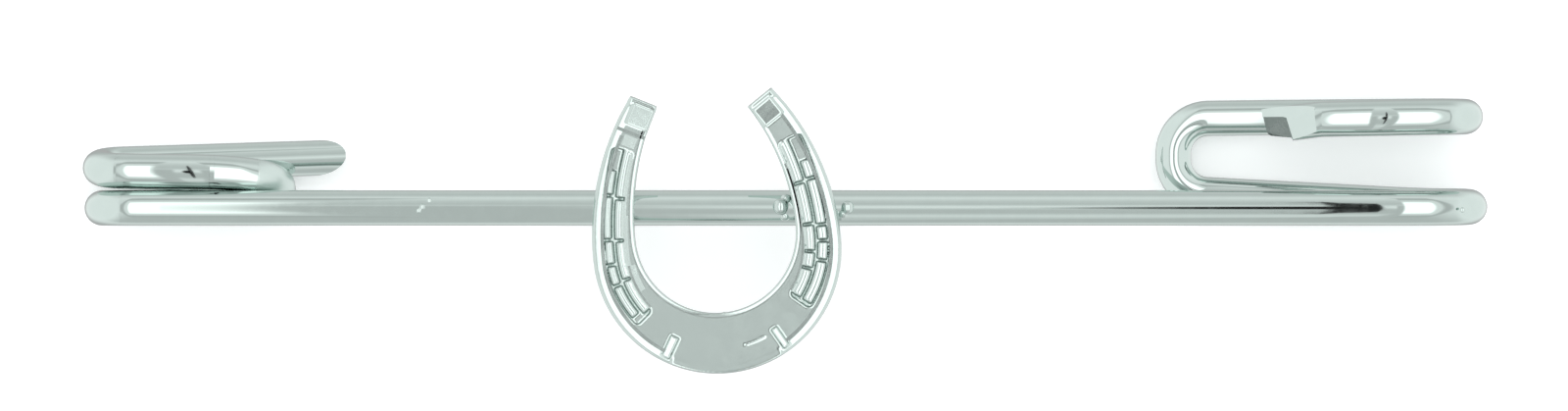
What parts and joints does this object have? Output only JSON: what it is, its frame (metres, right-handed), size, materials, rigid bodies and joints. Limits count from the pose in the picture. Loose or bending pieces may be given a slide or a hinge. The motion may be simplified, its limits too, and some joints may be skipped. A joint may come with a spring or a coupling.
{
  "type": "stock pin",
  "caption": "Clip-on stock pin: a bar of polished round wire bent round into a spring clip at each end, with a small horseshoe soldered across its front, open end up.",
  "frame": {"origin": "centre of the pin's bounding box at its base, the surface that the rear strands of both clips rest on", "axes": "+X along the bar towards the open hairpin, +Y up the horseshoe towards its open end, +Z out of its front"},
  "size_m": [0.0634, 0.0128, 0.0059],
  "materials": {
    "silver_plate": "bright polished plate"
  },
  "bodies": {
    "root": {"stock_pin": "silver_plate"}
  },
  "joints": []
}
